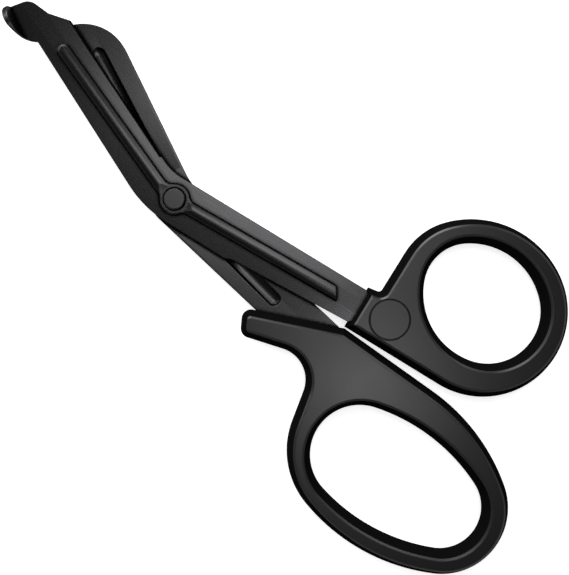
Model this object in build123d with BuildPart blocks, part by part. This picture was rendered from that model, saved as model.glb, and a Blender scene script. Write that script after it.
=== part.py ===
from build123d import *
import os
from math import acos, atan2, cos, degrees, hypot, radians, sin, sqrt, tan

# Angled bandage scissors, closed, lying on their back.
# The pivot axis is Z through the origin, and z = 0 is the surface they lie on.
# The front shank runs along +X, and the jaws point the other way and bend towards +Y.
# Lengths are millimetres and angles are degrees.

# Handles, moulded round the tangs, symmetric about the plane where the blades shear
handle_thickness = 8.6
handle_face_inset = 1.75
handle_rim_chamfer = 0.4
face_corner_radius = 0.3

# Blade sheet
sheet_thickness = 2.0
blade_gap = 0.06
flat_fall_angle = 2.5
edge_land = 0.5
edge_bevel_width = 0.5

# Pressed bead along the middle of each blade, with its groove on the inner face
bead_width = 3.75
bead_height = 1.0
bead_crown_width = 2.8
bead_flare_radius = 2.4
groove_width = 3.95
groove_floor_width = 2.6
groove_depth = 1.0
groove_wall_depth = 0.75
groove_start = 7.0
hollow_depth = 0.25
hollow_run_out = 0.02

# Boss and rivet at the pivot
boss_diameter = 8.3
boss_height = 0.75
boss_ramp_run = 1.6
rivet_shaft_diameter = 3.8
rivet_head_diameter = 5.4
rivet_head_height = 0.55
rivet_recess_diameter = 6.0
rivet_recess_depth = 0.4
rivet_tail_diameter = 5.6
rivet_rim_chamfer = 0.2
rivet_fit = 0.02
pivot_clearance = 0.04
tail_gap = 0.05

# Front blade: its jaw is turned up from the line of its shank
front_edge_bend = 25.0
front_back_bend = 26.2
front_bead_bend = 23.0
front_bead_lean = 1.3
front_elbow_x = -1.68
front_elbow_y = -0.19
front_edge_offset = 3.2
front_back_offset = 7.95
front_jaw_length = 53.0
front_edge_start = 11.0
front_bead_stop = 7.0
front_shank_bead_length = 49.45
front_bead_end_skew = 31.0
front_shank_top = 5.68
front_heel_depth = 6.05
front_step_depth = 6.3
front_step_position = 18.7
front_step_run = 1.9
front_step_height = 0.8
front_collar_depth = 3.8
front_crotch_radius = 14.0
front_heel_radius = 30.0

# Foot on the front jaw: a flat bill with a lip turned up along its outer side
foot_bill_run = 4.6
foot_bill_rise = 3.65
foot_flat_run = 5.6
foot_flat_rise = 2.05
foot_end_angle = 76.5
foot_end_radius = 3.5
foot_corner_radius = 0.9
foot_skid_radius = 8.66
foot_skid_ahead = 7.45
foot_skid_side = 1.94
lip_thickness = 1.13
lip_turn = 8.8
lip_height = 3.0
lip_length = 11.0
lip_root_run = 1.3
skid_round = 0.8

# Rear blade
rear_shank_turn = 12.0
rear_back_bend = 32.74
rear_bead_bend = 30.8
rear_bead_lean = 2.0
rear_back_offset = 5.35
rear_edge_offset = 4.8
rear_edge_start = 9.0
rear_tip_start = 40.5
rear_tip_radius = 12.25
rear_jaw_bead_length = 42.6
rear_shank_bead_length = 36.0
rear_shank_low = 6.5
rear_shank_top = 5.9
rear_step_position = 18.7
rear_step_run = 1.9
rear_step_height = 0.8
rear_crotch_radius = 14.0
rear_heel_back = 1.2
rear_heel_radius = 4.0
tooth_pitch = 1.2
tooth_depth = 0.35
tooth_count = 30
tooth_tip_relief = 0.05

# Tangs inside the handles
tang_shoulder = 1.2
tang_length = 12.0
tang_hole_diameter = 3.2
tang_corner_radius = 1.0
rear_tang_back = 1.0

# Thumb handle: an egg-shaped ring and a collar on the shank
collar_position = 54.2
collar_lap_low = 1.5
collar_lap_high = 0.92
collar_step = 3.4
collar_step_rise = 0.5
collar_fillet = 1.0
thumb_near_ahead = 22.3
thumb_near_y = 19.9
thumb_far_ahead = 29.65
thumb_far_y = 17.45
thumb_near_radius = 11.5
thumb_far_radius = 13.6
thumb_hole_swell = 4.8
thumb_near_wall = 6.3
thumb_far_wall = 8.4
thumb_wall_swell = 3.4
thumb_shift_x = -1.0
thumb_shift_y = -0.85
thumb_disc_diameter = 10.7
thumb_disc_line = 0.4
thumb_disc_depth = 0.2
thumb_disc_ahead = 8.7
thumb_disc_y = 2.2

# Finger handle: a long oval ring, a neck and a spur for the first finger
finger_near_ahead = 20.6
finger_near_y = -31.5
finger_far_ahead = 45.2
finger_far_y = -32.2
finger_near_radius = 12.8
finger_far_radius = 10.75
finger_hole_swell = 36.2
finger_near_wall = 8.7
finger_far_wall = 6.4
finger_wall_swell = 29.5
finger_near_shift_x = 1.65
finger_near_shift_y = 2.35
finger_far_shift_x = 0.7
stop_gap = 0.35
stop_ahead = 0.4
spur_angle = 19.65
spur_length = 27.0
spur_end_angle = -63.4
spur_end_width = 7.2
spur_under_angle = 13.6
neck_lean = 10.4
neck_fillet = 8.3

os.makedirs("parts", exist_ok=True)

# Levels and lines that follow from the sizes above
shear_z = handle_thickness / 2
front_inner_z = shear_z + blade_gap / 2
front_outer_z = front_inner_z + sheet_thickness
rear_inner_z = shear_z - blade_gap / 2
rear_outer_z = rear_inner_z - sheet_thickness
handle_draft = degrees(atan2(handle_face_inset, handle_thickness / 2))
handle_middle = Plane.XY.offset(shear_z)
spur_corner_radius = handle_face_inset + handle_rim_chamfer + face_corner_radius
front_line = 180.0 - front_edge_bend
front_back_line = 180.0 - front_back_bend
front_bead_line = 180.0 - front_bead_bend
rear_line = 180.0 - rear_back_bend
rear_bead_line = 180.0 - rear_bead_bend
rear_shank_line = -rear_shank_turn
rear_shank_bead_line = -rear_shank_turn - rear_bead_lean
front_jaw_bead_length = front_jaw_length - front_bead_stop
collar_bottom = front_collar_depth + collar_lap_low
collar_top = front_shank_top + collar_lap_high
rear_tang_start = collar_position - rear_tang_back
pivot = (0.0, 0.0)
front_elbow = (front_elbow_x, front_elbow_y)
UP, DOWN = 1, -1
far_reach = 2 * collar_position


def along(angle, distance, offset=0.0):
    """Point at a distance from the pivot in a direction, and an offset to the left of that line."""
    turn = radians(angle)
    x = distance * cos(turn) - offset * sin(turn)
    y = distance * sin(turn) + offset * cos(turn)
    return (x, y)


def step(start, angle, distance):
    """Point at a distance from a start in a direction."""
    return (start[0] + distance * cos(radians(angle)), start[1] + distance * sin(radians(angle)))


def toward(start, through, distance):
    """Point at a distance from a start, on the line through another point."""
    return step(start, degrees(atan2(through[1] - start[1], through[0] - start[0])), distance)


def crossing(first, first_angle, second, second_angle):
    """Point where two lines meet, each given by a point and a direction."""
    dx, dy = cos(radians(first_angle)), sin(radians(first_angle))
    ex, ey = cos(radians(second_angle)), sin(radians(second_angle))
    gap_x, gap_y = second[0] - first[0], second[1] - first[1]
    return step(first, first_angle, (gap_x * ey - gap_y * ex) / (dx * ey - dy * ex))


def circle_crossing(start, angle, centre, radius, side):
    """Point where a line meets a circle: side -1 is where it goes in, and 1 where it comes out."""
    gap_x, gap_y = centre[0] - start[0], centre[1] - start[1]
    run = gap_x * cos(radians(angle)) + gap_y * sin(radians(angle))
    miss = gap_y * cos(radians(angle)) - gap_x * sin(radians(angle))
    return step(start, angle, run + side * sqrt(radius**2 - miss**2))


def tangent_point(point, centre, radius, side):
    """Point where a line from an outside point touches a circle, on one side or the other."""
    dx, dy = point[0] - centre[0], point[1] - centre[1]
    turn = degrees(atan2(dy, dx) + side * acos(radius / hypot(dx, dy)))
    return step(centre, turn, radius)


def oval_side(near, near_radius, far, far_radius, swell, side):
    """Long arc on one side of an oval: its centre, its radius and where it meets the two round ends."""
    radius = max(near_radius, far_radius) + swell
    dx, dy = far[0] - near[0], far[1] - near[1]
    length = hypot(dx, dy)
    near_arm, far_arm = radius - near_radius, radius - far_radius
    run = (near_arm**2 - far_arm**2 + length**2) / (2 * length)
    rise = -side * sqrt(near_arm**2 - run**2)
    centre = (near[0] + (run * dx - rise * dy) / length, near[1] + (run * dy + rise * dx) / length)
    return centre, radius, toward(centre, near, radius), toward(centre, far, radius)


def arc_points(start, end, centre, radius):
    """Start, middle and end of an arc of less than half a turn."""
    chord_middle = ((start[0] + end[0]) / 2, (start[1] + end[1]) / 2)
    return start, toward(centre, chord_middle, radius), end


def aside(point, start, angle):
    """How far a point lies to the left of the line from a start in a direction."""
    gap_x, gap_y = point[0] - start[0], point[1] - start[1]
    return gap_y * cos(radians(angle)) - gap_x * sin(radians(angle))


def arm_plane(start, angle, distance, level, outward):
    """Plane across a blade's arm: x runs sideways, y out of the blade and z along the arm from its start."""
    direction = Vector(*along(angle, 1.0), 0)
    sideways = Vector(0, 0, outward).cross(direction)
    return Plane((*step(start, angle, distance), level), x_dir=sideways, z_dir=direction)


def upright(plane):
    """Axis square to the blade, through the origin of a plane across its arm."""
    return Axis(plane.origin, (0, 0, 1))


def pressing(elbow, arms, level):
    """Bead along each arm, with a round end, and the flat-topped boss that both flare into at the pivot."""
    half, crown, root = bead_width / 2, bead_crown_width / 2, -sheet_thickness / 4
    boss_top = boss_diameter / 2 - half + crown
    ramp_rise = 2 * (bead_height - boss_height)
    with BuildPart() as raised:
        with BuildSketch(Plane.XY.offset(level + root)) as flare:
            Circle(boss_diameter / 2)
            for angle, _ in arms:
                with Locations(Location((*elbow, 0), (0, 0, angle))):
                    Rectangle(boss_diameter, bead_width, align=(Align.MIN, Align.CENTER))
            fillet(flare.vertices().sort_by_distance((*pivot, level + root))[:4], bead_flare_radius)
        extrude(amount=boss_height - root)
        flare_top = raised.faces().sort_by(Axis.Z)[-1]
        chamfer(flare_top.edges(), half - crown, boss_height, reference=flare_top)
        for angle, length in arms:
            with BuildSketch(arm_plane(elbow, angle, 0, level, UP)):
                with BuildLine():
                    ThreePointArc((-crown, boss_height), (0, bead_height), (crown, boss_height))
                    Polyline((crown, boss_height), (half, 0), (half, root), (-half, root),
                             (-half, 0), (-crown, boss_height))
                make_face()
            extrude(amount=length)
            with BuildSketch(arm_plane(elbow, angle, length, level, UP)):
                with BuildLine():
                    TangentArc((0, bead_height), (crown, boss_height), tangent=(1, 0))
                    Polyline((crown, boss_height), (half, 0), (half, root), (0, root), (0, bead_height))
                make_face()
            revolve(axis=upright(arm_plane(elbow, angle, length, level, UP)))
        with BuildSketch(arm_plane(pivot, 0, 0, level, UP)):
            Polygon((0, boss_height), (boss_top, boss_height),
                    (boss_top + 2 * boss_ramp_run, boss_height + ramp_rise), (0, boss_height + ramp_rise),
                    align=None)
        revolve(axis=Axis.Z, mode=Mode.SUBTRACT)
    return raised.part


def grooves(elbow, arms, level, outward):
    """Groove with sloping walls that the bead leaves on the inner face of each arm."""
    half, floor, below = groove_width / 2, groove_floor_width / 2, -blade_gap
    with BuildPart() as sunk:
        for angle, length in arms:
            with BuildSketch(arm_plane(elbow, angle, groove_start, level, outward)):
                with BuildLine():
                    ThreePointArc((-floor, groove_wall_depth), (0, groove_depth), (floor, groove_wall_depth))
                    Polyline((floor, groove_wall_depth), (half, 0), (half, below), (-half, below),
                             (-half, 0), (-floor, groove_wall_depth))
                make_face()
            extrude(amount=length - groove_start)
            with BuildSketch(arm_plane(elbow, angle, length, level, outward)):
                with BuildLine():
                    TangentArc((0, groove_depth), (floor, groove_wall_depth), tangent=(1, 0))
                    Polyline((floor, groove_wall_depth), (half, 0), (half, below), (0, below),
                             (0, groove_depth))
                make_face()
            revolve(axis=upright(arm_plane(elbow, angle, length, level, outward)))
    return sunk.part


def hollow(arms, level, outward):
    """What is ground off the inner face, so that each arm bears at its edges and at the pivot."""
    with BuildPart() as ground:
        for angle, left, right, end in arms:
            for distance, depth in [(groove_start, hollow_depth), (end, hollow_run_out)]:
                with BuildSketch(arm_plane(pivot, angle, distance, level, outward)):
                    with BuildLine():
                        Polyline(
                            (-outward * right, 0), (0, depth), (outward * left, 0),
                            (outward * left, -blade_gap), (-outward * right, -blade_gap), close=True,
                        )
                    make_face()
            loft()
    return ground.part


def falling_flats(elbow, jaw_angle, shank_angle, level, outward):
    """What is taken off the outer face, so that its flats fall from the bead to the edges."""
    half, side = bead_width / 2, 2 * front_back_offset
    drop = (side - half) * tan(radians(flat_fall_angle))
    with BuildPart() as taken:
        with BuildLine() as spine:
            Polyline((*step(elbow, jaw_angle, far_reach), level), (*elbow, level),
                     (*step(elbow, shank_angle, far_reach), level))
        with BuildSketch(arm_plane(elbow, jaw_angle, far_reach, level, outward)):
            for way in (-1, 1):
                with BuildLine():
                    Polyline((way * half, 0), (way * side, -drop), (way * side, sheet_thickness),
                             (way * half, sheet_thickness), close=True)
                make_face()
        sweep(path=spine.wire(), transition=Transition.RIGHT)
    return taken.part


def ground_edge(angle, edge_offset, start, end, level, outward):
    """What is ground off the outer side of a cutting edge."""
    slope = edge_bevel_width / (sheet_thickness - edge_land)
    top = 2 * sheet_thickness
    with BuildPart() as ground:
        with BuildSketch(arm_plane(pivot, angle, start, level, outward)):
            Polygon((-edge_offset, edge_land), (-edge_offset + slope * (top - edge_land), top),
                    (-edge_offset - sheet_thickness, top), (-edge_offset - sheet_thickness, edge_land),
                    align=None)
        extrude(amount=end - start)
    return ground.part


# Front blade, seen square to its face
edge_point = along(front_line, 0, -front_edge_offset)
back_point = along(front_back_line, 0, front_back_offset)
crotch = crossing(edge_point, front_line, (0, front_shank_top), 0)
heel = crossing(back_point, front_back_line, (0, -front_heel_depth), 0)
step_end = front_step_position + front_step_run
tang_start = collar_position + tang_shoulder
tang_end = collar_position + tang_length
tang_top = front_shank_top - tang_shoulder
tang_low = front_collar_depth - tang_shoulder
bill_ahead = front_jaw_length + foot_bill_run
bill_side = foot_bill_rise - front_edge_offset
bill_start = along(front_line, front_jaw_length, -front_edge_offset)
bill_bend = along(front_line, bill_ahead, bill_side)
bill_corner = along(front_line, bill_ahead + foot_flat_run, bill_side + foot_flat_rise)
skid_ahead = front_jaw_length + foot_skid_ahead
skid_deep = foot_skid_side + foot_skid_radius
skid_centre = along(front_line, skid_ahead, foot_skid_side)
skid_bottom = along(front_line, skid_ahead, skid_deep)
skid_start = circle_crossing(back_point, front_back_line, skid_centre, foot_skid_radius, -1)
skid_end = circle_crossing(bill_corner, front_line + foot_end_angle, skid_centre, foot_skid_radius, 1)

with BuildSketch(Plane.XY.offset(front_inner_z)) as front_outline:
    with BuildLine():
        Polyline(
            skid_start, heel, (front_step_position, -front_step_depth),
            (step_end, front_step_height - front_step_depth), (collar_position, -front_collar_depth),
            (tang_start, -tang_low), (tang_end, -tang_low), (tang_end, tang_top),
            (tang_start, tang_top), (collar_position, front_shank_top), crotch,
            bill_start, bill_bend, bill_corner, skid_end,
        )
        ThreePointArc(skid_end, skid_bottom, skid_start)
    make_face()
    for corner, radius in [
        (crotch, front_crotch_radius), (heel, front_heel_radius), (bill_corner, foot_end_radius),
        (skid_end, foot_corner_radius),
        ((tang_end, -tang_low), tang_corner_radius), ((tang_end, tang_top), tang_corner_radius),
    ]:
        fillet(front_outline.vertices().sort_by_distance((*corner, front_inner_z))[0], radius)


def foot_lip(outline):
    """Lip standing along the foot's outer side, steep inside and round outside, with a domed top."""
    direction = Vector(*along(front_line, 1), 0)
    left = Vector(*along(front_line, 0, 1), 0)
    origin = Vector(*along(front_line, skid_ahead), front_outer_z)
    base, tall = -sheet_thickness / 2, sheet_thickness + lip_height
    wall_line, span = front_line - lip_turn, 2 * foot_skid_radius
    wall_end = step(lip_wall, wall_line, foot_skid_radius)
    root_foot = step(step(lip_wall, wall_line - 90, lip_root_run), wall_line, -lip_length / 2)
    foot_side = aside(root_foot, front_elbow, front_bead_line)
    foot_fall = (foot_side - bead_width / 2) * tan(radians(flat_fall_angle))
    across = Plane(
        (*wall_end, front_outer_z - foot_fall), x_dir=Vector(*along(wall_line - 90, 1), 0),
        z_dir=Vector(*along(wall_line, -1), 0),
    )
    with BuildPart() as lip:
        with BuildSketch(Plane(origin, x_dir=-direction, z_dir=left)):
            with BuildLine():
                ThreePointArc((-lip_length / 2, base), (0, lip_height), (lip_length / 2, base))
                Line((-lip_length / 2, base), (lip_length / 2, base))
            make_face()
        extrude(amount=skid_deep + span)
        with BuildSketch(across):
            Polygon((lip_root_run, base), (lip_root_run, 0), (0, lip_height), (0, tall),
                    (-span, tall), (-span, base), align=None)
        extrude(amount=span, mode=Mode.INTERSECT)
        extrude(outline, amount=tall, mode=Mode.INTERSECT)
    return lip.part


front_shank_bead_run = front_shank_bead_length + bead_width / 2
front_arms = [(front_bead_line, front_jaw_bead_length), (front_bead_lean, front_shank_bead_run)]
bead_end = step(front_elbow, front_bead_lean, front_shank_bead_length)
bead_end_line = front_bead_lean + 90 + front_bead_end_skew
bead_end_top = step(bead_end, bead_end_line, bead_width)
bead_end_low = step(bead_end, bead_end_line, -bead_width)
lip_wall = along(front_line, skid_ahead, skid_deep - lip_thickness)
front_back_close = front_jaw_length * tan(radians(front_back_bend - front_edge_bend))
front_back_end = front_back_offset - front_back_close
front_hollow_end = front_jaw_length - foot_bill_run
front_hollows = [
    (front_line, front_back_end - edge_land, front_edge_offset - edge_land, front_hollow_end),
    (0, front_shank_top - edge_land, front_collar_depth - edge_land, collar_position),
]
front_tang_middle = ((tang_start + tang_end) / 2, (tang_top - tang_low) / 2)

with BuildPart() as front_blade:
    extrude(front_outline.sketch, amount=sheet_thickness)
    add(falling_flats(front_elbow, front_bead_line, front_bead_lean, front_outer_z, UP), mode=Mode.SUBTRACT)
    add(pressing(front_elbow, front_arms, front_outer_z))
    with BuildSketch(Plane.XY.offset(front_outer_z)):
        Polygon(
            bead_end_low, step(bead_end_low, front_bead_lean, 2 * bead_width),
            step(bead_end_top, front_bead_lean, 2 * bead_width), bead_end_top, align=None,
        )
    extrude(amount=bead_height, mode=Mode.SUBTRACT)
    add(hollow(front_hollows, front_inner_z, UP), mode=Mode.SUBTRACT)
    add(grooves(front_elbow, front_arms, front_inner_z, UP), mode=Mode.SUBTRACT)
    add(
        ground_edge(front_line, front_edge_offset, front_edge_start, front_jaw_length, front_inner_z, UP),
        mode=Mode.SUBTRACT,
    )
    add(foot_lip(front_outline.sketch))
    fillet(front_blade.edges().sort_by_distance((*skid_bottom, front_inner_z))[0], skid_round)
    with BuildSketch(Plane.XY.offset(front_outer_z + boss_height)):
        Circle(rivet_recess_diameter / 2)
    extrude(amount=-rivet_recess_depth, mode=Mode.SUBTRACT)
    with BuildSketch(Plane.XY.offset(front_inner_z)):
        Circle(rivet_shaft_diameter / 2 + rivet_fit)
        with Locations(front_tang_middle):
            Circle(tang_hole_diameter / 2)
    extrude(amount=sheet_thickness + bead_height, mode=Mode.SUBTRACT)
front_blade.part.label = "front_blade"
export_step(front_blade.part, "parts/front_blade.step")

# Rear blade, seen from the same side as the front one
tooth_start = rear_edge_start + 2 * tooth_pitch
rear_back_point = along(rear_line, 0, -rear_back_offset)
rear_edge_rise = rear_tip_radius - rear_back_offset - rear_edge_offset
rear_jaw_length = rear_tip_start + sqrt(rear_tip_radius**2 - rear_edge_rise**2)
tip_first = along(rear_line, rear_tip_start, -rear_back_offset)
tip_last = along(rear_line, rear_jaw_length, rear_edge_offset)
tip_centre = along(rear_line, rear_tip_start, rear_tip_radius - rear_back_offset)
tip_chord = ((tip_first[0] + tip_last[0]) / 2, (tip_first[1] + tip_last[1]) / 2)
rear_crotch = crossing(rear_back_point, rear_line, along(rear_shank_line, 0, rear_shank_top), rear_shank_line)
rear_heel = along(rear_shank_line, -rear_heel_back, -rear_shank_low)
rear_edge_end = along(rear_line, rear_edge_start, rear_edge_offset)
rear_collar_top = rear_shank_top - rear_step_height
rear_tang_top = rear_collar_top - tang_shoulder
rear_tang_low = rear_shank_low - tang_shoulder
rear_tang_neck = rear_tang_start + tang_shoulder
rear_tang_end = rear_tang_start + tang_length
rear_tang_corners = [
    along(rear_shank_line, rear_tang_end, rear_tang_top),
    along(rear_shank_line, rear_tang_end, -rear_tang_low),
]
rear_tang_middle = along(
    rear_shank_line, (rear_tang_neck + rear_tang_end) / 2, (rear_tang_top - rear_tang_low) / 2
)
rear_arms = [(rear_bead_line, rear_jaw_bead_length), (rear_shank_bead_line, rear_shank_bead_length)]
rear_hollows = [
    (rear_line, rear_edge_offset - edge_land, rear_back_offset - edge_land, rear_jaw_length),
    (rear_shank_line, rear_collar_top - edge_land, rear_shank_low - edge_land, rear_tang_start),
]

with BuildPart() as rear_blade:
    with BuildSketch(Plane.XY.offset(rear_outer_z)) as rear_outline:
        with BuildLine():
            ThreePointArc(tip_first, toward(tip_centre, tip_chord, rear_tip_radius), tip_last)
            Polyline(
                tip_last, rear_edge_end, rear_heel,
                along(rear_shank_line, rear_tang_start, -rear_shank_low),
                along(rear_shank_line, rear_tang_neck, -rear_tang_low),
                rear_tang_corners[1], rear_tang_corners[0],
                along(rear_shank_line, rear_tang_neck, rear_tang_top),
                along(rear_shank_line, rear_tang_start, rear_collar_top),
                along(rear_shank_line, rear_step_position + rear_step_run, rear_collar_top),
                along(rear_shank_line, rear_step_position, rear_shank_top),
                rear_crotch, tip_first,
            )
        make_face()
        for corner, radius in [
            (rear_crotch, rear_crotch_radius), (rear_heel, rear_heel_radius),
            (rear_edge_end, rear_heel_radius), (rear_tang_corners[0], tang_corner_radius),
            (rear_tang_corners[1], tang_corner_radius),
        ]:
            fillet(rear_outline.vertices().sort_by_distance((*corner, rear_outer_z))[0], radius)
    extrude(amount=sheet_thickness)
    add(
        falling_flats(pivot, rear_bead_line, rear_shank_bead_line, rear_outer_z, DOWN),
        mode=Mode.SUBTRACT,
    )
    add(pressing(pivot, rear_arms, rear_outer_z).mirror(Plane.XY.offset(rear_outer_z)))
    add(hollow(rear_hollows, rear_inner_z, DOWN), mode=Mode.SUBTRACT)
    add(grooves(pivot, rear_arms, rear_inner_z, DOWN), mode=Mode.SUBTRACT)
    add(
        ground_edge(rear_line, rear_edge_offset, rear_edge_start, rear_jaw_length, rear_inner_z, DOWN),
        mode=Mode.SUBTRACT,
    )
    with BuildSketch(Plane.XY.offset(rear_outer_z)):
        with BuildLine():
            tooth_row = [along(rear_line, tooth_start, rear_edge_offset + tooth_pitch)]
            for tooth in range(tooth_count):
                ahead = tooth_start + tooth * tooth_pitch
                tooth_row.append(along(rear_line, ahead, rear_edge_offset - tooth_tip_relief))
                tooth_row.append(along(rear_line, ahead + tooth_pitch / 2, rear_edge_offset - tooth_depth))
            row_end = tooth_start + tooth_count * tooth_pitch
            tooth_row.append(along(rear_line, row_end, rear_edge_offset - tooth_tip_relief))
            tooth_row.append(along(rear_line, row_end, rear_edge_offset + tooth_pitch))
            Polyline(*tooth_row, close=True)
        make_face()
    extrude(amount=sheet_thickness, mode=Mode.SUBTRACT)
    with BuildSketch(Plane.XY.offset(rear_inner_z)):
        Circle(rivet_shaft_diameter / 2 + pivot_clearance)
        with Locations(rear_tang_middle):
            Circle(tang_hole_diameter / 2)
    extrude(amount=-sheet_thickness - bead_height, mode=Mode.SUBTRACT)
rear_blade.part.label = "rear_blade"
export_step(rear_blade.part, "parts/rear_blade.step")

# Rivet: its head and shaft sit in the front blade, and its tail stands clear of the rear one
head_seat = front_outer_z + boss_height - rivet_recess_depth
head_top = front_outer_z + boss_height + rivet_head_height
tail_seat = rear_outer_z - boss_height - tail_gap
shaft, head, tail = rivet_shaft_diameter / 2, rivet_head_diameter / 2, rivet_tail_diameter / 2

with BuildPart() as pivot_rivet:
    with BuildSketch(Plane.XZ):
        Polygon(
            (0, 0), (tail - rivet_rim_chamfer, 0), (tail, rivet_rim_chamfer), (tail, tail_seat),
            (shaft, tail_seat), (shaft, head_seat), (head, head_seat), (head, head_top - rivet_rim_chamfer),
            (head - rivet_rim_chamfer, head_top), (0, head_top), align=None,
        )
    revolve(axis=Axis.Z)
pivot_rivet.part.label = "pivot_rivet"
export_step(pivot_rivet.part, "parts/pivot_rivet.step")


def ring_hole(near, near_radius, far, far_radius, swell):
    """Finger hole that is narrowest half way through and flares to both faces."""
    near_radius += handle_face_inset
    far_radius += handle_face_inset
    left, radius, near_left, far_left = oval_side(near, near_radius, far, far_radius, swell, 1)
    right, radius, near_right, far_right = oval_side(near, near_radius, far, far_radius, swell, -1)
    with BuildPart() as hole:
        with BuildSketch(Plane.XY):
            with BuildLine():
                ThreePointArc(*arc_points(near_right, far_right, right, radius))
                ThreePointArc(far_right, toward(far, near, -far_radius), far_left)
                ThreePointArc(*arc_points(far_left, near_left, left, radius))
                ThreePointArc(near_left, toward(near, far, -near_radius), near_right)
            make_face()
        extrude(amount=handle_thickness / 2, taper=handle_draft)
        mirror(about=handle_middle)
    return hole.part


# Thumb handle
thumb_near = (collar_position + thumb_near_ahead, thumb_near_y)
thumb_far = (collar_position + thumb_far_ahead, thumb_far_y)
thumb_outer_near = (thumb_near[0] + thumb_shift_x, thumb_near[1] + thumb_shift_y)
thumb_outer_far = (thumb_far[0] + thumb_shift_x, thumb_far[1] + thumb_shift_y)
thumb_outer_near_radius = thumb_near_radius + thumb_near_wall
thumb_outer_far_radius = thumb_far_radius + thumb_far_wall
collar_low = (collar_position, -collar_bottom)
collar_high = (collar_position, collar_top)
collar_notch = (collar_position + collar_step, collar_top + collar_step_rise)
thumb_left, thumb_side_radius, thumb_near_left, thumb_far_left = oval_side(
    thumb_outer_near, thumb_outer_near_radius, thumb_outer_far, thumb_outer_far_radius, thumb_wall_swell, 1
)
thumb_low = tangent_point(collar_low, thumb_outer_far, thumb_outer_far_radius, 1)
thumb_tip = toward(thumb_outer_far, thumb_outer_near, -thumb_outer_far_radius)
thumb_root = tangent_point(collar_notch, thumb_outer_near, thumb_outer_near_radius, -1)

with BuildPart() as thumb_handle:
    with BuildSketch(handle_middle) as thumb_outline:
        with BuildLine():
            ThreePointArc(thumb_low, thumb_tip, thumb_far_left)
            ThreePointArc(*arc_points(thumb_far_left, thumb_near_left, thumb_left, thumb_side_radius))
            ThreePointArc(
                *arc_points(thumb_near_left, thumb_root, thumb_outer_near, thumb_outer_near_radius)
            )
            Polyline(thumb_root, collar_notch, collar_high, collar_low, thumb_low)
        make_face()
        fillet(thumb_outline.vertices().sort_by_distance((*collar_notch, shear_z))[0], collar_fillet)
    extrude(amount=handle_thickness / 2, taper=handle_draft)
    mirror(about=handle_middle)
    add(
        ring_hole(thumb_near, thumb_near_radius, thumb_far, thumb_far_radius, thumb_hole_swell),
        mode=Mode.SUBTRACT,
    )
    chamfer(thumb_handle.faces().filter_by(Axis.Z).edges(), handle_rim_chamfer)
    add(front_blade.part, mode=Mode.SUBTRACT)
    with BuildSketch(Plane.XY.offset(handle_thickness)):
        with Locations((collar_position + thumb_disc_ahead, thumb_disc_y)):
            Circle(thumb_disc_diameter / 2)
            Circle(thumb_disc_diameter / 2 - thumb_disc_line, mode=Mode.SUBTRACT)
    extrude(amount=-thumb_disc_depth, mode=Mode.SUBTRACT)
thumb_handle.part.label = "thumb_handle"
export_step(thumb_handle.part, "parts/thumb_handle.step")

# Finger handle
finger_near = (collar_position + finger_near_ahead, finger_near_y)
finger_far = (collar_position + finger_far_ahead, finger_far_y)
finger_outer_near = (finger_near[0] + finger_near_shift_x, finger_near[1] + finger_near_shift_y)
finger_outer_far = (finger_far[0] + finger_far_shift_x, finger_far[1])
finger_outer_near_radius = finger_near_radius + finger_near_wall
finger_outer_far_radius = finger_far_radius + finger_far_wall
finger_outer = (
    finger_outer_near, finger_outer_near_radius, finger_outer_far, finger_outer_far_radius, finger_wall_swell
)
stop_corner = (collar_position + stop_ahead, -collar_bottom - stop_gap)
spur_top = step(stop_corner, 180 + spur_angle, spur_length)
spur_low = step(spur_top, spur_end_angle, spur_end_width)
neck_foot = step(finger_outer_near, 180 + neck_lean, finger_outer_near_radius)
neck_top = crossing(spur_low, spur_under_angle, neck_foot, 90 + neck_lean)
finger_left, finger_side_radius, finger_near_left, finger_far_left = oval_side(*finger_outer, 1)
finger_right, finger_side_radius, finger_near_right, finger_far_right = oval_side(*finger_outer, -1)
finger_tip = toward(finger_outer_far, finger_outer_near, -finger_outer_far_radius)
finger_top = tangent_point(stop_corner, finger_left, finger_side_radius, -1)

with BuildPart() as finger_handle:
    with BuildSketch(handle_middle) as finger_outline:
        with BuildLine():
            Polyline(finger_top, stop_corner, spur_top, spur_low, neck_top, neck_foot)
            ThreePointArc(
                *arc_points(neck_foot, finger_near_right, finger_outer_near, finger_outer_near_radius)
            )
            ThreePointArc(*arc_points(finger_near_right, finger_far_right, finger_right, finger_side_radius))
            ThreePointArc(finger_far_right, finger_tip, finger_far_left)
            ThreePointArc(*arc_points(finger_far_left, finger_top, finger_left, finger_side_radius))
        make_face()
        for corner, radius in [
            (spur_top, spur_corner_radius), (spur_low, spur_corner_radius), (neck_top, neck_fillet),
        ]:
            fillet(finger_outline.vertices().sort_by_distance((*corner, shear_z))[0], radius)
    extrude(amount=handle_thickness / 2, taper=handle_draft)
    mirror(about=handle_middle)
    add(
        ring_hole(finger_near, finger_near_radius, finger_far, finger_far_radius, finger_hole_swell),
        mode=Mode.SUBTRACT,
    )
    chamfer(finger_handle.faces().filter_by(Axis.Z).edges(), handle_rim_chamfer)
    add(rear_blade.part, mode=Mode.SUBTRACT)
finger_handle.part.label = "finger_handle"
export_step(finger_handle.part, "parts/finger_handle.step")
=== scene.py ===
"""Angled bandage scissors: the finishes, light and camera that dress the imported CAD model."""
import logging
import math
from dataclasses import dataclass, field
from enum import Enum, IntEnum
from typing import Any

import bpy
from mathutils import Matrix, Vector

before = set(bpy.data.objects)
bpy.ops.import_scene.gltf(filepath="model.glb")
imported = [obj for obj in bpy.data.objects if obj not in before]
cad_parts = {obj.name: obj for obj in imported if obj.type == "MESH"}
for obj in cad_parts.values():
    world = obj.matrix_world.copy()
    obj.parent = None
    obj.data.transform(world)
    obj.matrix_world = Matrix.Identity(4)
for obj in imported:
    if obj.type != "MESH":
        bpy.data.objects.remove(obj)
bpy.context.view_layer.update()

MM = 0.001
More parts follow.
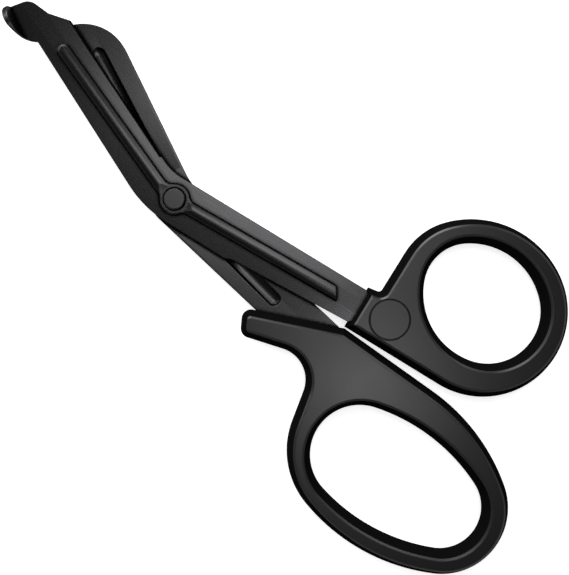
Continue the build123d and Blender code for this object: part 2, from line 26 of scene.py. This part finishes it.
# Rays that a shader sends out to find creases, and to round edges.
CREASE_SAMPLES = 8
EDGE_SAMPLES = 6
log = logging.getLogger("bandage_scissors")


class Grain(Enum):
    """How a steel surface was worked before it was coated."""

    BRUSHED = "brushed along the arms"
    TURNED = "turned round the pivot"


class MixInput(IntEnum):
    """Inputs of Blender's Mix node, whose names repeat for each kind of data."""

    FACTOR = 0
    NUMBER_A = 2
    NUMBER_B = 3
    VECTOR_A = 4
    VECTOR_B = 5
    COLOUR_A = 6
    COLOUR_B = 7


class MixOutput(IntEnum):
    """Outputs of Blender's Mix node, one for each kind of data."""

    NUMBER = 0
    VECTOR = 1
    COLOUR = 2


def linear(hex_colour: str) -> tuple[float, float, float, float]:
    """Turn an sRGB hex colour into linear light.

    Args:
        hex_colour: colour as "#rrggbb".

    Returns:
        Red, green, blue and alpha in linear light.
    """
    channels = [int(hex_colour[i:i + 2], 16) / 255 for i in (1, 3, 5)]
    # The curve of the sRGB standard: straight near black, a power above it.
    light = [c / 12.92 if c <= 0.04045 else ((c + 0.055) / 1.055) ** 2.4 for c in channels]
    return (light[0], light[1], light[2], 1.0)


def add_node(
    tree: bpy.types.NodeTree,
    kind: str,
    settings: dict[str, Any] | None = None,
    values: dict[str | int, Any] | None = None,
    links: dict[str | int, bpy.types.NodeSocket] | None = None,
) -> bpy.types.Node:
    """Add a node with its settings, its socket values and its incoming links.

    Args:
        tree: node tree that gets the node.
        kind: Blender's type name of the node.
        settings: properties of the node itself.
        values: constant values by input socket.
        links: source sockets by input socket.

    Returns:
        The new node.
    """
    node = tree.nodes.new(kind)
    for name, value in (settings or {}).items():
        setattr(node, name, value)
    for name, value in (values or {}).items():
        node.inputs[name].default_value = value
    for name, source in (links or {}).items():
        tree.links.new(source, node.inputs[name])
    return node


def empty_material(name: str) -> tuple[bpy.types.Material, bpy.types.NodeTree]:
    """Make a material with an empty node tree.

    Args:
        name: name of the material.

    Returns:
        The material and its node tree.
    """
    material = bpy.data.materials.new(name)
    material.use_nodes = True
    material.node_tree.nodes.clear()
    return material, material.node_tree


@dataclass(frozen=True)
class CoatedSteel:
    """Stainless steel, brushed or turned, then coated black.

    The coat keeps the metal's satin gloss but only a few percent of its brightness, so a
    flat that faces a lamp goes grey and one that faces away goes almost black. The worked
    surface breaks the gloss into fine streaks.
    """

    name: str
    grain: Grain
    jaw_turn: float = 180.0
    shank_turn: float = 0.0
    coat_colour: str = "#3c3c3d"
    thin_coat_colour: str = "#414142"
    # Painted shade: the coat's colour is darkened in the creases of the pressing and in other narrow
    # hollows, where shade falls.
    crease_shade_colour: str = "#0b0b0c"
    crease_shade_reach_mm: float = 1.2
    # Open share of the sky above a point at which the painted crease shade is full, and at which it
    # ends.
    crease_share: float = 0.74
    open_share: float = 0.97
    # Seen along the surface the coat stays dark, where bare metal would turn white.
    grazing_colour: str = "#606061"
    roughness: float = 0.27
    roughness_spread: float = 0.04
    # Real brush lines are about 0.05 mm wide; these are drawn wider so that they show.
    line_width_mm: float = 0.30
    line_length_mm: float = 5.0
    speckle_mm: float = 0.45
    line_depth_mm: float = 0.002
    line_strength: float = 0.5
    # Lines and speckle are added up; this is the range that their sum mostly fills.
    speckle_part: float = 0.5
    grain_low: float = 0.45
    grain_high: float = 1.05
    edge_round_mm: float = 0.30

    def build(self) -> bpy.types.Material:
        """Make the steel's material.

        Returns:
            The material.
        """
        material, tree = empty_material(self.name)
        place = add_node(tree, "ShaderNodeTexCoord").outputs["Object"]
        lines = self._lines(tree, place)
        speckle = add_node(
            tree, "ShaderNodeTexNoise",
            values={"Scale": 1 / (self.speckle_mm * MM), "Detail": 2.0, "Roughness": 0.6},
            links={"Vector": place},
        )
        grain = add_node(
            tree, "ShaderNodeMath", {"operation": "MULTIPLY_ADD"}, {1: self.speckle_part},
            {0: speckle.outputs["Fac"], 2: lines},
        )
        level = add_node(
            tree, "ShaderNodeMapRange", None,
            {"From Min": self.grain_low, "From Max": self.grain_high}, {"Value": grain.outputs[0]},
        )
        gloss = add_node(
            tree, "ShaderNodeMapRange", None,
            {"To Min": self.roughness + self.roughness_spread / 2,
             "To Max": self.roughness - self.roughness_spread / 2},
            {"Value": level.outputs["Result"]},
        )
        rounded = add_node(
            tree, "ShaderNodeBevel", {"samples": EDGE_SAMPLES}, {"Radius": self.edge_round_mm * MM},
        )
        bump = add_node(
            tree, "ShaderNodeBump", None,
            {"Strength": self.line_strength, "Distance": self.line_depth_mm * MM},
            {"Height": grain.outputs[0], "Normal": rounded.outputs["Normal"]},
        )
        shader = add_node(
            tree, "ShaderNodeBsdfPrincipled", None,
            {"Metallic": 1.0, "Specular Tint": linear(self.grazing_colour)},
            {"Base Color": self._coat_with_painted_shade(tree, level.outputs["Result"]),
             "Roughness": gloss.outputs["Result"], "Normal": bump.outputs["Normal"]},
        )
        add_node(tree, "ShaderNodeOutputMaterial", links={"Surface": shader.outputs[0]})
        return material

    def _coat_with_painted_shade(self, tree: bpy.types.NodeTree, level: bpy.types.NodeSocket) -> bpy.types.NodeSocket:
        """Make the coat's colour: thinner on the ridges of the grain, with painted shade in the
        creases.

        Args:
            tree: node tree that gets the colour.
            level: socket with the grain's height from 0 to 1.

        Returns:
            Socket with the colour.
        """
        colour = add_node(
            tree, "ShaderNodeMix", {"data_type": "RGBA"},
            {MixInput.COLOUR_A: linear(self.coat_colour),
             MixInput.COLOUR_B: linear(self.thin_coat_colour)},
            {MixInput.FACTOR: level},
        )
        # Painted shade: the colour goes dark where creases and hollows hide part of the sky above a
        # point.
        openness = add_node(
            tree, "ShaderNodeAmbientOcclusion", {"samples": CREASE_SAMPLES},
            {"Distance": self.crease_shade_reach_mm * MM},
        )
        open_face = add_node(
            tree, "ShaderNodeMapRange", {"interpolation_type": "SMOOTHSTEP"},
            {"From Min": self.crease_share, "From Max": self.open_share},
            {"Value": openness.outputs["AO"]},
        )
        painted_crease_shade = add_node(
            tree, "ShaderNodeMix", {"data_type": "RGBA"},
            {MixInput.COLOUR_A: linear(self.crease_shade_colour)},
            {MixInput.FACTOR: open_face.outputs["Result"],
             MixInput.COLOUR_B: colour.outputs[MixOutput.COLOUR]},
        )
        return painted_crease_shade.outputs[MixOutput.COLOUR]

    def _lines(self, tree: bpy.types.NodeTree, place: bpy.types.NodeSocket) -> bpy.types.NodeSocket:
        """Make the worked lines: along each arm when brushed, rings when turned.

        Args:
            tree: node tree that gets the lines.
            place: socket with the point in the object's own frame, in metres.

        Returns:
            Socket with the lines' height from 0 to 1.
        """
        across = 1 / (self.line_width_mm * MM)
        if self.grain is Grain.TURNED:
            flat = add_node(
                tree, "ShaderNodeVectorMath", {"operation": "MULTIPLY"}, {1: (1.0, 1.0, 0.0)},
                {0: place},
            )
            radius = add_node(
                tree, "ShaderNodeVectorMath", {"operation": "LENGTH"}, None, {0: flat.outputs[0]},
            )
            rings = add_node(
                tree, "ShaderNodeTexNoise", {"noise_dimensions": "1D"},
                {"Scale": across, "Detail": 2.0}, {"W": radius.outputs["Value"]},
            )
            return rings.outputs["Fac"]
        parts = add_node(tree, "ShaderNodeSeparateXYZ", links={0: place})
        on_jaw = add_node(
            tree, "ShaderNodeMath", {"operation": "LESS_THAN"}, {1: 0.0}, {0: parts.outputs["X"]},
        )
        turned = [
            add_node(
                tree, "ShaderNodeVectorRotate", {"rotation_type": "Z_AXIS"},
                {"Angle": -math.radians(turn)}, {"Vector": place},
            )
            for turn in (self.shank_turn, self.jaw_turn)
        ]
        along_arm = add_node(
            tree, "ShaderNodeMix", {"data_type": "VECTOR"}, None,
            {MixInput.FACTOR: on_jaw.outputs[0], MixInput.VECTOR_A: turned[0].outputs[0],
             MixInput.VECTOR_B: turned[1].outputs[0]},
        )
        stretched = add_node(
            tree, "ShaderNodeVectorMath", {"operation": "MULTIPLY"},
            {1: (1 / (self.line_length_mm * MM), across, across)},
            {0: along_arm.outputs[MixOutput.VECTOR]},
        )
        lines = add_node(
            tree, "ShaderNodeTexNoise", None, {"Scale": 1.0, "Detail": 3.0, "Roughness": 0.6},
            {"Vector": stretched.outputs[0]},
        )
        return lines.outputs["Fac"]


@dataclass(frozen=True)
class MouldedPlastic:
    """Black ABS, moulded in a spark-eroded tool.

    The eye sees a soft satin sheen on the flat faces and a thin bright line along the rims.
    The side walls were eroded deeper, so that the moulding draws off, and that coarse grain
    swallows light: they look matt and almost black. Hands polish the faces in faint patches.
    """

    name: str
    colour: str = "#0c0c0d"
    rubbed_colour: str = "#101011"
    wall_colour: str = "#0f0f10"
    roughness: float = 0.33
    roughness_spread: float = 0.06
    wall_roughness: float = 0.75
    shine: float = 0.5
    wall_shine: float = 0.0
    ior: float = 1.53
    # Height of the unit normal at which a rim counts as wall, and as face.
    wall_normal: float = 0.62
    face_normal: float = 0.84
    # An engraved line keeps the coarse grain of the walls. Shares are of the sky above a point.
    groove_reach_mm: float = 0.5
    groove_share: float = 0.60
    open_share: float = 0.88
    # The tool's grain is near 0.05 mm; it is drawn coarser so that it shows.
    grain_mm: float = 0.40
    grain_depth_mm: float = 0.008
    grain_strength: float = 0.4
    rubbed_patch_mm: float = 14.0
    edge_round_mm: float = 0.2

    def build(self) -> bpy.types.Material:
        """Make the plastic's material.

        Returns:
            The material.
        """
        material, tree = empty_material(self.name)
        place = add_node(tree, "ShaderNodeTexCoord").outputs["Object"]
        grain = add_node(
            tree, "ShaderNodeTexNoise", None,
            {"Scale": 1 / (self.grain_mm * MM), "Detail": 2.0, "Roughness": 0.55},
            {"Vector": place},
        )
        patches = add_node(
            tree, "ShaderNodeTexNoise", None,
            {"Scale": 1 / (self.rubbed_patch_mm * MM), "Detail": 3.0}, {"Vector": place},
        )
        rounded = add_node(
            tree, "ShaderNodeBevel", {"samples": EDGE_SAMPLES}, {"Radius": self.edge_round_mm * MM},
        )
        face = self._faces(tree, rounded.outputs["Normal"])
        face_colour = add_node(
            tree, "ShaderNodeMix", {"data_type": "RGBA"},
            {MixInput.COLOUR_A: linear(self.colour),
             MixInput.COLOUR_B: linear(self.rubbed_colour)},
            {MixInput.FACTOR: patches.outputs["Fac"]},
        )
        colour = add_node(
            tree, "ShaderNodeMix", {"data_type": "RGBA"},
            {MixInput.COLOUR_A: linear(self.wall_colour)},
            {MixInput.FACTOR: face, MixInput.COLOUR_B: face_colour.outputs[MixOutput.COLOUR]},
        )
        face_gloss = add_node(
            tree, "ShaderNodeMapRange", None,
            {"To Min": self.roughness + self.roughness_spread / 2,
             "To Max": self.roughness - self.roughness_spread / 2},
            {"Value": patches.outputs["Fac"]},
        )
        gloss = add_node(
            tree, "ShaderNodeMix", {"data_type": "FLOAT"},
            {MixInput.NUMBER_A: self.wall_roughness},
            {MixInput.FACTOR: face, MixInput.NUMBER_B: face_gloss.outputs["Result"]},
        )
        shine = add_node(
            tree, "ShaderNodeMapRange", None, {"To Min": self.wall_shine, "To Max": self.shine},
            {"Value": face},
        )
        bump = add_node(
            tree, "ShaderNodeBump", None,
            {"Strength": self.grain_strength, "Distance": self.grain_depth_mm * MM},
            {"Height": grain.outputs["Fac"], "Normal": rounded.outputs["Normal"]},
        )
        shader = add_node(
            tree, "ShaderNodeBsdfPrincipled", None, {"IOR": self.ior},
            {"Base Color": colour.outputs[MixOutput.COLOUR],
             "Roughness": gloss.outputs[MixOutput.NUMBER],
             "Specular IOR Level": shine.outputs["Result"], "Normal": bump.outputs["Normal"]},
        )
        add_node(tree, "ShaderNodeOutputMaterial", links={"Surface": shader.outputs[0]})
        return material

    def _faces(self, tree: bpy.types.NodeTree, normal: bpy.types.NodeSocket) -> bpy.types.NodeSocket:
        """Tell the flat faces from the side walls and the engraved line.

        Args:
            tree: node tree that gets the mask.
            normal: socket with the surface's normal, rounded at the edges.

        Returns:
            Socket with 1 on a flat face, and 0 on a wall and in the engraved line.
        """
        parts = add_node(tree, "ShaderNodeSeparateXYZ", links={0: normal})
        height = add_node(
            tree, "ShaderNodeMath", {"operation": "ABSOLUTE"}, None, {0: parts.outputs["Z"]},
        )
        upright = add_node(
            tree, "ShaderNodeMapRange", {"interpolation_type": "SMOOTHSTEP"},
            {"From Min": self.wall_normal, "From Max": self.face_normal},
            {"Value": height.outputs[0]},
        )
        openness = add_node(
            tree, "ShaderNodeAmbientOcclusion", {"samples": CREASE_SAMPLES},
            {"Distance": self.groove_reach_mm * MM},
        )
        open_face = add_node(
            tree, "ShaderNodeMapRange", {"interpolation_type": "SMOOTHSTEP"},
            {"From Min": self.groove_share, "From Max": self.open_share},
            {"Value": openness.outputs["AO"]},
        )
        face = add_node(
            tree, "ShaderNodeMath", {"operation": "MULTIPLY"}, None,
            {0: upright.outputs["Result"], 1: open_face.outputs["Result"]},
        )
        return face.outputs[0]


@dataclass(frozen=True)
class PaperFloor:
    """Matt white paper.

    It looks plain white to the camera and in the steel, and keeps the soft shadow under
    the scissors.
    """

    name: str = "matt_white_paper"
    colour: str = "#e8e8e8"
    glow: float = 0.75

    def build(self) -> bpy.types.Material:
        """Make the paper's material.

        Returns:
            The material.
        """
        material, tree = empty_material(self.name)
        path = add_node(tree, "ShaderNodeLightPath")
        seen = add_node(
            tree, "ShaderNodeMath", {"operation": "MAXIMUM"}, None,
            {0: path.outputs["Is Camera Ray"], 1: path.outputs["Is Glossy Ray"]},
        )
        shown = add_node(
            tree, "ShaderNodeMath", {"operation": "MAXIMUM"}, None,
            {0: seen.outputs[0], 1: path.outputs["Is Transmission Ray"]},
        )
        glow = add_node(
            tree, "ShaderNodeMath", {"operation": "MULTIPLY"}, {1: self.glow}, {0: shown.outputs[0]},
        )
        paper = add_node(tree, "ShaderNodeBsdfDiffuse", None, {"Color": linear(self.colour)})
        white = add_node(tree, "ShaderNodeEmission", None, None, {"Strength": glow.outputs[0]})
        both = add_node(
            tree, "ShaderNodeAddShader", None, None, {0: paper.outputs[0], 1: white.outputs[0]},
        )
        add_node(tree, "ShaderNodeOutputMaterial", links={"Surface": both.outputs[0]})
        return material


def dress(node: str, material: bpy.types.Material) -> None:
    """Give a CAD node its finish.

    Args:
        node: name of the CAD node.
        material: finish of its whole surface.
    """
    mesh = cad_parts[node].data
    mesh.materials.clear()
    mesh.materials.append(material)
    log.info("%s: %s", node, material.name)


@dataclass
class FrontHalf:
    """Front blade with its foot, the thumb ring moulded on it, and the rivet it carries."""

    steel: CoatedSteel = CoatedSteel(
        "front_steel_brushed_black_coated", Grain.BRUSHED, jaw_turn=157.0, shank_turn=0.6
    )
    rivet_steel: CoatedSteel = CoatedSteel(
        "rivet_steel_turned_black_coated", Grain.TURNED, roughness=0.33, line_width_mm=0.25
    )

    def dress(self, plastic: bpy.types.Material) -> None:
        """Give the blade, the rivet and the thumb ring their finishes.

        Args:
            plastic: finish of the handles.
        """
        dress("front_blade", self.steel.build())
        dress("pivot_rivet", self.rivet_steel.build())
        dress("thumb_handle", plastic)


@dataclass
class RearHalf:
    """Rear blade with its toothed edge, and the finger ring moulded on it."""

    steel: CoatedSteel = CoatedSteel(
        "rear_steel_brushed_black_coated", Grain.BRUSHED, jaw_turn=149.2, shank_turn=-12.0
    )

    def dress(self, plastic: bpy.types.Material) -> None:
        """Give the blade and the finger ring their finishes.

        Args:
            plastic: finish of the handles.
        """
        dress("rear_blade", self.steel.build())
        dress("finger_handle", plastic)


@dataclass(frozen=True)
class Softbox:
    """A flat lamp behind white cloth."""

    name: str
    centre_mm: tuple[float, float, float]
    size_mm: tuple[float, float]
    # Watts for each square metre of cloth, divided by pi.
    brightness: float
    # A lamp without an aim hangs level and shines straight down.
    aim_mm: tuple[float, float, float] | None = None

    def build(self) -> None:
        """Hang the lamp and turn it to the scissors."""
        width, height = self.size_mm[0] * MM, self.size_mm[1] * MM
        data = bpy.data.lights.new(self.name, "AREA")
        data.shape = "RECTANGLE"
        data.size = width
        data.size_y = height
        data.energy = self.brightness * math.pi * width * height
        lamp = bpy.data.objects.new(self.name, data)
        bpy.context.scene.collection.objects.link(lamp)
        place = Vector(self.centre_mm) * MM
        lamp.matrix_world = Matrix.Translation(place)
        if self.aim_mm is not None:
            look = (Vector(self.aim_mm) * MM - place).to_track_quat("-Z", "Y")
            lamp.matrix_world = Matrix.Translation(place) @ look.to_matrix().to_4x4()
        log.info("lamp %s", self.name)


@dataclass
class Studio:
    """White paper, soft lamps and a camera straight above the scissors."""

    floor_side_mm: float = 4000.0
    room_colour: str = "#ffffff"
    # The room's walls are lighter than its ceiling, which the flat faces mirror to the camera.
    # The two heights are those of the unit direction where the walls end and the ceiling starts.
    wall_light: float = 0.32
    ceiling_light: float = 0.05
    wall_top: float = 0.55
    ceiling_start: float = 0.85
    # The camera stands 230 mm above the plane between the blades, and the photograph's
    # 575 pixel rows cover 148.6 mm of that plane.
    shear_height_mm: float = 4.3
    camera_rise_mm: float = 230.0
    camera_x_mm: float = 35.79
    camera_y_mm: float = -4.69
    picture_height_mm: float = 148.64
    picture_turn: float = 31.3
    sensor_mm: float = 36.0
    nearest_mm: float = 10.0
    farthest_mm: float = 20000.0
    lamps: list[Softbox] = field(default_factory=lambda: [
        Softbox("lamp_key_low", (-14.0, 51.0, 250.0), (160.0, 68.0), 4.0),
        Softbox("lamp_key_high", (23.0, 141.0, 250.0), (86.0, 112.0), 3.2),
        Softbox("lamp_side", (99.0, -27.0, 250.0), (30.0, 36.0), 16.0),
        Softbox("lamp_rim", (-290.0, 300.0, 215.0), (360.0, 170.0), 7.5, (60.0, -10.0, 0.0)),
        Softbox("lamp_left", (-430.0, -20.0, 210.0), (260.0, 160.0), 5.0, (80.0, -10.0, 0.0)),
        Softbox("lamp_back", (150.0, 430.0, 260.0), (160.0, 140.0), 4.0, (40.0, 0.0, 0.0)),
    ])

    def build(self) -> None:
        """Lay the floor, hang the lamps, light the room and stand the camera."""
        self._floor()
        self._room()
        for lamp in self.lamps:
            lamp.build()
        self._camera()
        bpy.context.scene.view_settings.view_transform = "Standard"

    def _floor(self) -> None:
        """Lay the paper under the scissors."""
        half = self.floor_side_mm * MM / 2
        mesh = bpy.data.meshes.new("floor")
        corners = [(-half, -half, 0.0), (half, -half, 0.0), (half, half, 0.0), (-half, half, 0.0)]
        mesh.from_pydata(corners, [], [(0, 1, 2, 3)])
        mesh.materials.append(PaperFloor().build())
        floor = bpy.data.objects.new("floor", mesh)
        bpy.context.scene.collection.objects.link(floor)
        log.info("floor")

    def _room(self) -> None:
        """Light the room softly, from its walls more than from its ceiling."""
        world = bpy.data.worlds.new("room")
        world.use_nodes = True
        tree = world.node_tree
        tree.nodes.clear()
        way = add_node(tree, "ShaderNodeTexCoord").outputs["Generated"]
        parts = add_node(tree, "ShaderNodeSeparateXYZ", links={0: way})
        light = add_node(
            tree, "ShaderNodeMapRange", {"interpolation_type": "SMOOTHSTEP"},
            {"From Min": self.wall_top, "From Max": self.ceiling_start,
             "To Min": self.wall_light, "To Max": self.ceiling_light},
            {"Value": parts.outputs["Z"]},
        )
        room = add_node(
            tree, "ShaderNodeBackground", None, {"Color": linear(self.room_colour)},
            {"Strength": light.outputs["Result"]},
        )
        add_node(tree, "ShaderNodeOutputWorld", links={"Surface": room.outputs[0]})
        bpy.context.scene.world = world

    def _camera(self) -> None:
        """Stand the camera over the scissors, turned as the photograph is."""
        data = bpy.data.cameras.new("camera")
        data.sensor_width = self.sensor_mm
        data.lens = self.sensor_mm * self.camera_rise_mm / self.picture_height_mm
        data.clip_start = self.nearest_mm * MM
        data.clip_end = self.farthest_mm * MM
        camera = bpy.data.objects.new("camera", data)
        height = self.shear_height_mm + self.camera_rise_mm
        place = Vector((self.camera_x_mm, self.camera_y_mm, height)) * MM
        turn = Matrix.Rotation(math.radians(self.picture_turn), 4, "Z")
        camera.matrix_world = Matrix.Translation(place) @ turn
        bpy.context.scene.collection.objects.link(camera)
        bpy.context.scene.camera = camera
        log.info("camera")


def main() -> None:
    """Dress both halves of the scissors and set up the studio."""
    logging.basicConfig(level=logging.INFO)
    Studio().build()
    plastic = MouldedPlastic("handle_abs_moulded_black").build()
    FrontHalf().dress(plastic)
    RearHalf().dress(plastic)


if __name__ == "__main__":
    main()
